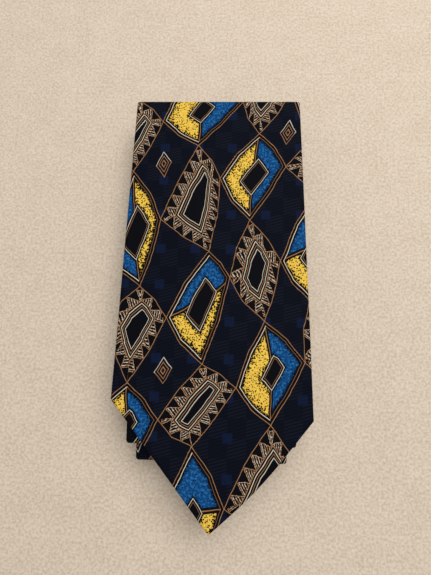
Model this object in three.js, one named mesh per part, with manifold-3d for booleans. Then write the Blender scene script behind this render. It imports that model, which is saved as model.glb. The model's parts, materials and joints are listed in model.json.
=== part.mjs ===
// A necktie folded for storage: eight flat panels lie on each other in an accordion, the blade's face on top.
// Millimetres, +Z up. X runs across the tie and +Y points from the blade's point to the folds behind it.
// Inside each panel a wool interlining fills a silk shell that is closed by a slip-stitched seam up its back.
// The folds are living hinges, so each panel is a rigid group of its own and a bend of cloth joins it to the next.
import * as THREE from "three";
import { mergeVertices } from "three/addons/utils/BufferGeometryUtils.js";
import Module from "manifold-3d";

const wasm = await Module();
wasm.setup();

// Driving dimensions.
const bladeWidth = 100;
const bladePointDepth = 61;
const tailWidth = 50;
const tailPointDepth = 30;
const pointRounding = 1.6;

// Where each fold's line lies along Y, from the blade to the tail, and the tie's width there.
// The blade's widest line is Y 0. Odd folds are at the far end and even ones at the near end.
const foldLineY = [159.5, -19, 158, -28, 157, -25, 155];
const foldWidth = [90, 84, 80, 76, 67, 55, 42];
const tailTipY = -20;

// Cloth.
const plyThickness = 0.4;
const clearance = 0.3;
const interliningThickness = 1.2;
const liningThickness = 0.3;
const sideWall = 1.2;
const edgeRounding = 1.0;
const panelThickness = 2 * (plyThickness + clearance) + interliningThickness;

// Space between the faces of neighbouring panels. The two lined ends carry trim on their backs.
const plainGap = 0.4;
const trimThickness = 0.5;
const trimGap = trimThickness + 2 * clearance;

// The slip-stitched seam up the back.
const threadWidth = 0.8;
const seamSlit = threadWidth + 2 * clearance;

// The lined window in the back of each end.
const bladeWindowTopY = 52;
const bladeFlapSetback = 16;
const bladeHem = 10;
const tailWindowLength = 46;
const tailFlapSetback = 8;
const tailHem = 6;
const liningTuck = 4;

// Trim on the blade's back.
const keeperY = 125;
const keeperDepth = 13;
const keeperEase = 2;
const labelY = 96;
const labelSize = [44, 20];
const careTagSize = [14, 22];
const careTagGap = 3;
const tackSize = [9, 1.6];
const tackRise = 3;
const sizeTagSize = [12, 10];

// The two slanting seams that join the blade, neck and tail pieces of silk.
const joinAngle = Math.PI / 4;
const bladeNeckJoinY = 66;
const neckTailJoinY = 70;

const bendSegments = 10;
const reach = 400;

const silk = new THREE.MeshStandardMaterial({ color: 0x0c1130, roughness: 0.55, metalness: 0 });
const lining = new THREE.MeshStandardMaterial({ color: 0x0a0b14, roughness: 0.35, metalness: 0 });
const wool = new THREE.MeshStandardMaterial({ color: 0xd8cdb4, roughness: 0.95, metalness: 0 });
const thread = new THREE.MeshStandardMaterial({ color: 0x161a33, roughness: 0.6, metalness: 0 });
const label = new THREE.MeshStandardMaterial({ color: 0x15161c, roughness: 0.5, metalness: 0 });

const panelCount = foldLineY.length + 1;
const tie = new THREE.Group();

// Solids and booleans.
function solidOf(geometry) {
  const bare = geometry.index ? geometry.toNonIndexed() : geometry.clone();
  bare.deleteAttribute("normal");
  bare.deleteAttribute("uv");
  const merged = mergeVertices(bare, 1e-4);
  return new wasm.Manifold(new wasm.Mesh({
    numProp: 3,
    vertProperties: merged.attributes.position.array,
    triVerts: new Uint32Array(merged.index.array),
  }));
}

function geometryOf(solid) {
  const made = solid.getMesh();
  const geometry = new THREE.BufferGeometry();
  geometry.setAttribute("position", new THREE.BufferAttribute(made.vertProperties, 3));
  geometry.setIndex(new THREE.BufferAttribute(made.triVerts, 1));
  const flat = geometry.toNonIndexed();
  flat.computeVertexNormals();
  return flat;
}

function addPiece(group, name, solid, material) {
  const mesh = new THREE.Mesh(geometryOf(solid), material);
  mesh.name = name;
  group.add(mesh);
}

// A flat plate of a plan outline, from height low to height high.
function plate(outline, low, high) {
  const geometry = new THREE.ExtrudeGeometry(outline, { depth: high - low, bevelEnabled: false });
  return solidOf(geometry.translate(0, 0, low));
}

// The same with edges rounded all the way round.
function softPlate(outline, low, high) {
  const geometry = new THREE.ExtrudeGeometry(outline, {
    depth: high - low - 2 * edgeRounding,
    bevelEnabled: true,
    bevelThickness: edgeRounding,
    bevelSize: edgeRounding,
    bevelOffset: -edgeRounding,
    bevelSegments: 3,
  });
  return solidOf(geometry.translate(0, 0, low + edgeRounding));
}

function block(xLow, xHigh, yLow, yHigh, zLow, zHigh) {
  const geometry = new THREE.BoxGeometry(xHigh - xLow, yHigh - yLow, zHigh - zLow);
  return solidOf(geometry.translate((xLow + xHigh) / 2, (yLow + yHigh) / 2, (zLow + zHigh) / 2));
}

// Each panel's height, counted down from the blade to the tail on the floor.
function gapBelow(panel) {
  return panel === 1 || panel === panelCount - 1 ? trimGap : plainGap;
}

function panelBottom(panel) {
  let height = 0;
  for (let below = panelCount - 1; below >= panel; below--) {
    height += panelThickness + gapBelow(below);
  }
  return height;
}

// Plan outlines. Each is drawn inset from the tie's edge, and longer than its panel where a fold cuts it.
function widthLine(panel) {
  const ends = { near: {}, far: {} };
  const first = foldLineY[panel - 2];
  const second = foldLineY[panel - 1];
  const firstEnd = panel % 2 === 0 ? ends.far : ends.near;
  const secondEnd = panel % 2 === 0 ? ends.near : ends.far;
  firstEnd.y = first;
  firstEnd.width = foldWidth[panel - 2];
  secondEnd.y = second;
  secondEnd.width = foldWidth[panel - 1];
  return ends;
}

function taperedOutline(near, far, inset, overrun) {
  const slope = (far.width - near.width) / 2 / (far.y - near.y);
  const half = (y) => near.width / 2 + slope * (y - near.y) - inset;
  const outline = new THREE.Shape();
  outline.moveTo(-half(near.y - overrun), near.y - overrun);
  outline.lineTo(half(near.y - overrun), near.y - overrun);
  outline.lineTo(half(far.y + overrun), far.y + overrun);
  outline.lineTo(-half(far.y + overrun), far.y + overrun);
  return outline;
}

// The outline of an end that comes to a point, at low Y. The tip's rounding is within the point's depth.
function pointedOutline(point, far, inset, overrun) {
  const half = point.width / 2;
  const blunted = pointRounding * point.depth / (point.width - pointRounding);
  const slope = (point.depth + blunted) / half;
  const tip = point.tipY - blunted + inset * Math.hypot(1, slope);
  const rise = pointRounding * slope;
  const shoulder = half - inset;
  const shoulderY = tip + slope * shoulder;
  const farHalf = far.width / 2 - inset;
  const outline = new THREE.Shape();
  outline.moveTo(pointRounding, tip + rise);
  outline.lineTo(shoulder, shoulderY);
  outline.lineTo(farHalf, far.y + overrun);
  outline.lineTo(-farHalf, far.y + overrun);
  outline.lineTo(-shoulder, shoulderY);
  outline.lineTo(-pointRounding, tip + rise);
  outline.quadraticCurveTo(0, tip, pointRounding, tip + rise);
  return outline;
}

const bladeEnd = { width: bladeWidth, depth: bladePointDepth, tipY: -bladePointDepth };
const tailEnd = { width: tailWidth, depth: tailPointDepth, tipY: tailTipY };
const bladeFar = { y: foldLineY[0], width: foldWidth[0] };
const tailFar = { y: foldLineY[panelCount - 2], width: foldWidth[panelCount - 2] };

function panelOutline(panel, inset, overrun) {
  if (panel === 1) {
    return pointedOutline(bladeEnd, bladeFar, inset, overrun);
  }
  if (panel === panelCount) {
    return pointedOutline(tailEnd, tailFar, inset, overrun);
  }
  const { near, far } = widthLine(panel);
  return taperedOutline(near, far, inset, overrun);
}

// The kite-shaped window that shows the lining, grown by a margin.
function windowOutline(end, topY, setback, hem, margin) {
  const slant = Math.hypot(end.width / 2, end.depth);
  const half = end.width / 2 - setback + margin;
  const shoulderY = end.tipY + end.depth;
  const bottomY = end.tipY + (hem - margin) * slant / (end.width / 2);
  const outline = new THREE.Shape();
  outline.moveTo(0, bottomY);
  outline.lineTo(half, shoulderY);
  outline.lineTo(seamSlit / 2, topY + margin);
  outline.lineTo(-seamSlit / 2, topY + margin);
  outline.lineTo(-half, shoulderY);
  return outline;
}

const windows = {
  1: (margin) => windowOutline(bladeEnd, bladeWindowTopY, bladeFlapSetback, bladeHem, margin),
  [panelCount]: (margin) => windowOutline(
    tailEnd, tailTipY + tailPointDepth + tailWindowLength, tailFlapSetback, tailHem, margin),
};
const windowTop = { 1: bladeWindowTopY, [panelCount]: tailTipY + tailPointDepth + tailWindowLength };

// Where a panel lies, and which way its back looks. Odd panels lie face up.
function frameOf(panel) {
  const bottom = panelBottom(panel);
  const top = bottom + panelThickness;
  const faceUp = panel % 2 === 1;
  const fromBack = (low, high) => faceUp ? [bottom + low, bottom + high] : [top - high, top - low];
  const nearFold = panel === 1 ? null : foldLineY[panel % 2 === 0 ? panel - 1 : panel - 2];
  const farFold = foldLineY[panel % 2 === 0 ? panel - 2 : panel - 1];
  const nearY = panel === 1 || panel === panelCount ? -reach : nearFold + clearance;
  return { bottom, top, faceUp, fromBack, nearY, farY: farFold - clearance };
}

function shellOf(panel) {
  const { bottom, top, fromBack, nearY, farY } = frameOf(panel);
  const overrun = 2 * edgeRounding;
  const skin = softPlate(panelOutline(panel, 0, overrun), bottom, top);
  const cavity = plate(panelOutline(panel, sideWall, 2 * overrun), bottom + plyThickness, top - plyThickness);
  const ends = block(-reach, reach, nearY, farY, bottom - 1, top + 1);
  const [backLow, backHigh] = fromBack(-clearance, plyThickness + clearance / 2);
  const slitFrom = windowTop[panel] ?? -reach;
  const slit = block(-seamSlit / 2, seamSlit / 2, slitFrom, reach, backLow, backHigh);
  let shell = skin.intersect(ends).subtract(cavity).subtract(slit);
  if (windows[panel]) {
    shell = shell.subtract(plate(windows[panel](0), backLow, backHigh));
  }
  return shell;
}

function interliningOf(panel) {
  const { fromBack, nearY, farY } = frameOf(panel);
  const [low, high] = fromBack(plyThickness + clearance, plyThickness + clearance + interliningThickness);
  const pad = plate(panelOutline(panel, sideWall + clearance, 2), low, high);
  const ends = block(-reach, reach, nearY, farY, low - 1, high + 1);
  let strip = pad.intersect(ends);
  if (windows[panel]) {
    const [cutLow, cutHigh] = fromBack(0, plyThickness + 2 * clearance + liningThickness);
    strip = strip.subtract(plate(windows[panel](liningTuck + clearance), cutLow, cutHigh));
  }
  return strip;
}

function liningOf(panel) {
  const start = plyThickness + clearance;
  const [low, high] = frameOf(panel).fromBack(start, start + liningThickness);
  return plate(windows[panel](liningTuck), low, high);
}

function stitchOf(panel) {
  const { fromBack, nearY, farY } = frameOf(panel);
  const [low, high] = fromBack(0, plyThickness);
  const from = windowTop[panel] === undefined ? nearY : windowTop[panel] + clearance;
  return block(-threadWidth / 2, threadWidth / 2, from, farY, low, high);
}

// Flat trim lying on a panel's back.
function trimOnBack(panel, centreX, centreY, size) {
  const [low, high] = frameOf(panel).fromBack(-clearance - trimThickness, -clearance);
  return block(centreX - size[0] / 2, centreX + size[0] / 2,
    centreY - size[1] / 2, centreY + size[1] / 2, low, high);
}

// Splits a shell along a slanting seam: the piece on the blade's side, and the piece on the tail's side.
function splitAtJoin(shell, centreY, towardsBlade) {
  const side = (sign) => {
    const half = new THREE.BoxGeometry(2 * reach, reach, reach);
    half.translate(0, sign * (reach / 2 + clearance / 2), 0);
    half.rotateZ(joinAngle);
    return solidOf(half.translate(0, centreY, 0));
  };
  return { blade: shell.intersect(side(towardsBlade)), tail: shell.intersect(side(-towardsBlade)) };
}

// The cloth round a fold: a half ring that joins the ends of two panels, hollow for the interlining.
function halfRing(fold, inner, outer, halfWidth) {
  const opens = fold % 2 === 1 ? 1 : -1;
  const ring = new THREE.Shape();
  ring.absarc(0, 0, outer, -Math.PI / 2, Math.PI / 2, false);
  ring.absarc(0, 0, inner, Math.PI / 2, -Math.PI / 2, true);
  const geometry = new THREE.ExtrudeGeometry(ring, {
    depth: 2 * halfWidth, bevelEnabled: false, curveSegments: bendSegments,
  });
  geometry.translate(0, 0, -halfWidth);
  const alongX = new THREE.Vector3(1, 0, 0);
  const alongY = new THREE.Vector3(0, 1, 0);
  const alongZ = new THREE.Vector3(0, 0, 1);
  geometry.applyMatrix4(new THREE.Matrix4().makeBasis(alongY, alongZ, alongX));
  if (opens < 0) {
    geometry.rotateZ(Math.PI);
  }
  const axisZ = panelBottom(fold) - gapBelow(fold) / 2;
  return solidOf(geometry.translate(0, foldLineY[fold - 1], axisZ));
}

function addBend(fold) {
  const inner = gapBelow(fold) / 2;
  const outer = inner + panelThickness;
  const half = foldWidth[fold - 1] / 2 - edgeRounding / 2;
  const skin = halfRing(fold, inner, outer, half);
  const hollow = halfRing(fold, inner + plyThickness, outer - plyThickness, half - sideWall);
  const padInner = inner + plyThickness + clearance;
  const pad = halfRing(fold, padInner, padInner + interliningThickness, half - sideWall - clearance);
  const group = new THREE.Group();
  addPiece(group, `shell_bend_${fold}`, skin.subtract(hollow), silk);
  addPiece(group, `interlining_bend_${fold}`, pad, wool);
  tie.add(group);
}

// The blade's front panel, with everything that is sewn to its back.
function addBlade() {
  const group = new THREE.Group();
  addPiece(group, "front_blade_shell", shellOf(1), silk);
  addPiece(group, "front_interlining", interliningOf(1), wool);
  addPiece(group, "blade_tipping", liningOf(1), lining);
  addPiece(group, "slip_stitch_1", stitchOf(1), thread);
  addPiece(group, "keeper_loop", trimOnBack(1, 0, keeperY, [tailWidth + 2 * keeperEase, keeperDepth]), silk);
  addPiece(group, "maker_label", trimOnBack(1, 0, labelY, labelSize), label);
  const tackY = bladeWindowTopY + tackRise;
  addPiece(group, "blade_bar_tack", trimOnBack(1, 0, tackY, tackSize), thread);
  const careY = tackY + tackSize[1] / 2 + careTagGap + careTagSize[1] / 2;
  addPiece(group, "care_tag", trimOnBack(1, 0, careY, careTagSize), label);
  tie.add(group);
}

// The tail's panel, which lies on the floor with its back up.
function addTail() {
  const group = new THREE.Group();
  addPiece(group, `tail_shell_${panelCount}`, shellOf(panelCount), silk);
  addPiece(group, `interlining_${panelCount}`, interliningOf(panelCount), wool);
  addPiece(group, "tail_tipping", liningOf(panelCount), lining);
  addPiece(group, `slip_stitch_${panelCount}`, stitchOf(panelCount), thread);
  const tackY = windowTop[panelCount] + tackRise;
  addPiece(group, "tail_bar_tack", trimOnBack(panelCount, 0, tackY, tackSize), thread);
  const tagY = tackY + tackSize[1] / 2 + careTagGap + sizeTagSize[1] / 2;
  addPiece(group, "size_tag", trimOnBack(panelCount, 0, tagY, sizeTagSize), label);
  tie.add(group);
}

// The panels between the ends. The slanting joins fall in the fifth and seventh.
const shellNames = {
  2: ["blade_shell_2"],
  3: ["blade_shell_3"],
  4: ["blade_shell_4"],
  5: ["blade_shell_5", "neck_shell_5"],
  6: ["neck_shell_6"],
  7: ["neck_shell_7", "tail_shell_7"],
};
const joinY = { 5: bladeNeckJoinY, 7: neckTailJoinY };

function addMiddle(panel) {
  const group = new THREE.Group();
  const shell = shellOf(panel);
  if (joinY[panel] === undefined) {
    addPiece(group, shellNames[panel][0], shell, silk);
  } else {
    const { blade, tail } = splitAtJoin(shell, joinY[panel], -1);
    addPiece(group, shellNames[panel][0], blade, silk);
    addPiece(group, shellNames[panel][1], tail, silk);
  }
  addPiece(group, `interlining_${panel}`, interliningOf(panel), wool);
  addPiece(group, `slip_stitch_${panel}`, stitchOf(panel), thread);
  tie.add(group);
}

addBlade();
for (let panel = 2; panel < panelCount; panel++) {
  addMiddle(panel);
}
addTail();
for (let fold = 1; fold < panelCount; fold++) {
  addBend(fold);
}

// The origin is on the floor under the middle of the folded tie.
tie.updateMatrixWorld(true);
const middle = new THREE.Box3().setFromObject(tie).getCenter(new THREE.Vector3());
tie.position.set(0, -middle.y, 0);

export default tie;
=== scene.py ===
# A silk necktie folded for storage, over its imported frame: printed silk, lining, wool, thread and labels.
# Panel 1 is the blade, on top and face up. Panel 8 is the tail, on the floor. The cloth turns at seven folds.
# Sizes are in millimetres from the blade's widest line and become metres where a mesh is made.
import json
import math
import random

import bmesh
import bpy
import numpy as np
from mathutils import Matrix, Vector


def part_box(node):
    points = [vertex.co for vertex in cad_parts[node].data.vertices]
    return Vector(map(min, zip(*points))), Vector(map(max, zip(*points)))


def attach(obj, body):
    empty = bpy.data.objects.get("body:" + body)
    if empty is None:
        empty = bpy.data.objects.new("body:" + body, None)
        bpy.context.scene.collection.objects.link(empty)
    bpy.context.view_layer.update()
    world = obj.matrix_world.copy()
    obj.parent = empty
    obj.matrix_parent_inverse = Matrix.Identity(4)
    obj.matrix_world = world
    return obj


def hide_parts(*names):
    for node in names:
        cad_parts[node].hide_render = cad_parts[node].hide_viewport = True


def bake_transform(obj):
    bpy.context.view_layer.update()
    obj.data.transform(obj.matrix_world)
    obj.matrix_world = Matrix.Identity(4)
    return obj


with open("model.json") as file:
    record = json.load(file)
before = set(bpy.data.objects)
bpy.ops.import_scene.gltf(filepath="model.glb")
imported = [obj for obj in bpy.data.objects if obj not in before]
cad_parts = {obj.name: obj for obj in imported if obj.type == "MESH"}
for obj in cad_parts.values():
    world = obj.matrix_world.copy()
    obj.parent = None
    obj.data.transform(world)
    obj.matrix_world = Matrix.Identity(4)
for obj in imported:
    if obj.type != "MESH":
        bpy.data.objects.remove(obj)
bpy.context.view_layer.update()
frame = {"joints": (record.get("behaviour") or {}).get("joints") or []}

MM = 0.001
POINT_DEPTH = 61.0
TAIL_POINT_DEPTH = 30.0
blade_low, blade_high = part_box("front_blade_shell")
WIDEST_LINE = blade_low.y / MM + POINT_DEPTH
STACK_TOP = blade_high.z / MM

# The frame's names, then the fold lines, the tie's half width at each, and the height of each panel's middle.
SHELLS = [["front_blade_shell"], ["blade_shell_2"], ["blade_shell_3"], ["blade_shell_4"],
          ["blade_shell_5", "neck_shell_5"], ["neck_shell_6"], ["neck_shell_7", "tail_shell_7"],
          ["tail_shell_8"]]
BODIES = ["blade_panel", "blade_panel_2", "blade_panel_3", "blade_panel_4",
          "neck_panel_5", "neck_panel_6", "tail_panel_7", "tail_panel"]
FOLDS = [which + "_fold" for which in ("blade", "second", "third", "fourth", "fifth", "sixth", "tail")]
joint_at = {j["name"]: j["pos_m"] for j in frame["joints"]}
fold_y = [joint_at[name][1] / MM - WIDEST_LINE for name in FOLDS]
fold_z = [joint_at[name][2] / MM for name in FOLDS]
fold_half = [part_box(f"shell_bend_{k}")[1].x / MM + 0.5 for k in range(1, 8)]
middle_z = [sum(c.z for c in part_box(names[0])) / 2 / MM for names in SHELLS]

SKIN = 1.3  # from a panel's middle to its silk
PRESS = 1.5  # how far in from an edge the pressed roundness reaches
# The rows of a hem that is turned in: how far inward, and the share of the flap's width that it goes back.
HEM_ROWS = ((0.14, -0.0005), (0.36, -0.0005), (0.5, 0.0), (0.5, 0.08))
UNDERLAP = 0.5  # how much deeper the lower flap lies where the two meet
FOLD_HOLD = 8  # how near a fold the face is held flat
SHY_OF_FOLD = 0.03  # panels stop this short of the fold's axis, so that they don't meet when it opens
ROUND_FOLD = 8.0  # the length of cloth that runs round a fold
FOLD_BULGE = 0.88  # how far a fold stands out, as a share of a half circle
TURN = np.linspace(math.pi / 2, -math.pi / 2, 13)
WOOL_INSET, WOOL_LOW, WOOL_HIGH = 1.9, -0.3, 0.7
SIDE_SLIP, SLIP_ACROSS, SLIP_UP = 8.0, 35, 45

LENS, SENSOR = 27.05, 36
CAMERA_LEAN = (9.69, 2.16, 0.93)  # in degrees, about x, y and z
CAMERA_PLACE = (9.2, 19.7, 242.7)
SKY_COLOUR, SKY_LIGHT = (1.0, 0.98, 0.96, 1), 0.31
# Each lamp: its name, place, size, power and colour.
LAMPS = [("window", (0.3, 0.5, 0.95), (0.9, 0.7), 8.2, (1.0, 0.99, 0.97)),
         ("ceiling", (0.15, -0.15, 1.3), (1.0, 1.0), 4.7, (1.0, 0.98, 0.95))]
FLOOR_HALF, FLOOR_LEVEL = 3, -0.0001


# ---- camera, floor and light
def place(x, y, z):
    """A point of the tie in the frame's metres."""
    return Vector((x * MM, (y + WIDEST_LINE) * MM, z * MM))


def extent(node):
    """A node's half width, and its ends along the tie."""
    low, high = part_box(node)
    return high.x / MM, low.y / MM - WIDEST_LINE, high.y / MM - WIDEST_LINE


def stand(name, data):
    """Puts data into the scene as an object."""
    made = bpy.data.objects.new(name, data)
    bpy.context.scene.collection.objects.link(made)
    return made


def set_camera():
    data = bpy.data.cameras.new("camera")
    data.lens, data.sensor_width, data.clip_start = LENS, SENSOR, 0.01
    camera = stand("camera", data)
    camera.matrix_world = Matrix.Translation(place(*CAMERA_PLACE))
    for lean, axis in zip(CAMERA_LEAN, "XYZ"):
        camera.matrix_world = camera.matrix_world @ Matrix.Rotation(math.radians(lean), 4, axis)
    bpy.context.scene.camera = camera


def set_lights():
    world = bpy.data.worlds.new("studio")
    world.use_nodes = True
    sky = world.node_tree.nodes["Background"].inputs
    sky["Color"].default_value, sky["Strength"].default_value = SKY_COLOUR, SKY_LIGHT
    bpy.context.scene.world = world
    for name, at, size, power, colour in LAMPS:
        data = bpy.data.lights.new(name, "AREA")
        data.shape = "RECTANGLE"
        data.size, data.size_y = size
        data.energy, data.color = power, colour
        lamp = stand(name, data)
        lamp.location = at
        lamp.rotation_euler = (-Vector(at)).to_track_quat("-Z", "Y").to_euler()


def lay_floor():
    mesh = bpy.data.meshes.new("floor")
    corners = ((-1, -1), (1, -1), (1, 1), (-1, 1))
    mesh.from_pydata([(x * FLOOR_HALF, y * FLOOR_HALF, FLOOR_LEVEL) for x, y in corners], [], [(0, 1, 2, 3)])
    mesh.materials.append(pale_floor())
    stand("floor", mesh)


# ---- shader arithmetic
class Value:
    """A socket in a material, so that its maths reads as arithmetic."""

    def __init__(self, finish, socket):
        self.finish, self.socket = finish, socket

    def maths(self, operation, *others, clamp=False):
        return self.finish.node("Math", {"operation": operation, "use_clamp": clamp},
                                dict(enumerate((self, *others))))

    def __add__(self, other): return self.maths("ADD", other)
    def __sub__(self, other): return self.maths("SUBTRACT", other)
    def __mul__(self, other): return self.maths("MULTIPLY", other)
    def __truediv__(self, other): return self.maths("DIVIDE", other)
    def __abs__(self): return self.maths("ABSOLUTE")
    def __rsub__(self, other): return (self * -1) + other
    __radd__, __rmul__ = __add__, __mul__

    def floor(self): return self.maths("FLOOR")
    def fract(self): return self.maths("FRACT")
    def sine(self): return self.maths("SINE")
    def low(self, other): return self.maths("MINIMUM", other)
    def high(self, other): return self.maths("MAXIMUM", other)
    def clamp(self): return self.maths("ADD", 0.0, clamp=True)

    def above(self, edge, soft=0.12):
        """1 where the value is over edge, with a soft step."""
        return (self - (edge - soft / 2)).maths("DIVIDE", soft, clamp=True)

    def line(self, at, half, soft=0.14):
        """1 within half of at."""
        return (half + soft / 2 - abs(self - at)).maths("DIVIDE", soft, clamp=True)

    def wave(self, pitch):
        """A wave from -1 to 1 that repeats every pitch."""
        return (self * (2 * math.pi / pitch)).sine()

    def odd(self):
        """1 where a whole number is odd."""
        return ((self * 0.5).fract() * 2).maths("ROUND")


class Finish:
    """A material whose nodes are made by one method."""

    def __init__(self, name):
        self.material = bpy.data.materials.new(name)
        self.material.use_nodes = True
        self.tree = self.material.node_tree
        self.shader = self.tree.nodes["Principled BSDF"]

    def node(self, kind, settings=None, sockets=None, output=0):
        made = self.tree.nodes.new("ShaderNode" + kind)
        for key, value in (settings or {}).items():
            setattr(made, key, value)
        for key, value in (sockets or {}).items():
            if isinstance(value, Value):
                self.tree.links.new(value.socket, made.inputs[key])
            else:
                made.inputs[key].default_value = value
        return Value(self, made.outputs[output])

    def noise(self, vector, scale, detail=2.0, rough=0.5):
        return self.node("TexNoise", {},
                         {"Vector": vector, "Scale": scale, "Detail": detail, "Roughness": rough})

    def mix(self, share, first, second):
        """Colours from first to second as share goes from 0 to 1."""
        return self.node("Mix", {"data_type": "RGBA"}, {0: share, 6: first, 7: second}, output=2)

    def paint(self, ground, *coats):
        """Lays coats of (share, ink) over a ground, in turn."""
        for share, ink in coats:
            ground = self.mix(share, ground, ink)
        return ground

    def vector(self, x, y):
        return self.node("CombineXYZ", {}, {"X": x, "Y": y})

    def split(self, vector):
        parts = self.node("SeparateXYZ", {}, {0: vector}).socket.node
        return [Value(self, out) for out in parts.outputs]

    def layer(self, name):
        """The two coordinates of a UV layer."""
        return self.split(self.node("UVMap", {"uv_map": name}))[:2]

    def on_cloth(self):
        """Where a point lies on the flat cloth, across and along, in millimetres."""
        return [c * 1000 for c in self.layer("cloth")]

    def wear(self, colour, roughness, height, strength, depth, **constants):
        """Joins what varies to the shader, and sets its other sockets."""
        bump = self.node("Bump", {}, {"Strength": strength, "Distance": depth, "Height": height})
        for key, value in (("Base Color", colour), ("Roughness", roughness), ("Normal", bump)):
            self.tree.links.new(value.socket, self.shader.inputs[key])
        for key, value in constants.items():
            self.shader.inputs[key.replace("_", " ")].default_value = value
        return self.material


def dye(red, green, blue):
    """A colour as a dyer's swatch card gives it, from 0 to 255, for a shader."""
    shares = (c / 255 / 12.92 if c < 10 else ((c / 255 + 0.055) / 1.055) ** 2.4 for c in (red, green, blue))
    return tuple(shares) + (1.0,)


NAVY = dye(6, 9, 22)
TAN = dye(172, 124, 82)
CREAM = dye(226, 219, 200)
YELLOW = dye(238, 206, 90)
AMBER = dye(222, 160, 36)
BLUE = dye(24, 90, 152)
DEEP_BLUE = dye(9, 48, 96)
PALE_BLUE = dye(46, 122, 182)
INK = dye(7, 8, 15)
SQUARE_BLUE = dye(14, 25, 52)
RIB_LIGHT = dye(20, 23, 36)


# ---- the printed silk
RIB_PITCH, RIB_RISE = 1.55, 0.28
SQUARES_ACROSS, SQUARES_ALONG = 18.2, 18.8  # the distance between the small woven squares
WARP_PITCH = 0.42
WANDER = 1.2  # how far the block cutter's hand strays
TRIANGLE_PITCH, BORDER_DEPTH = 6.2, 4.3


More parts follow.
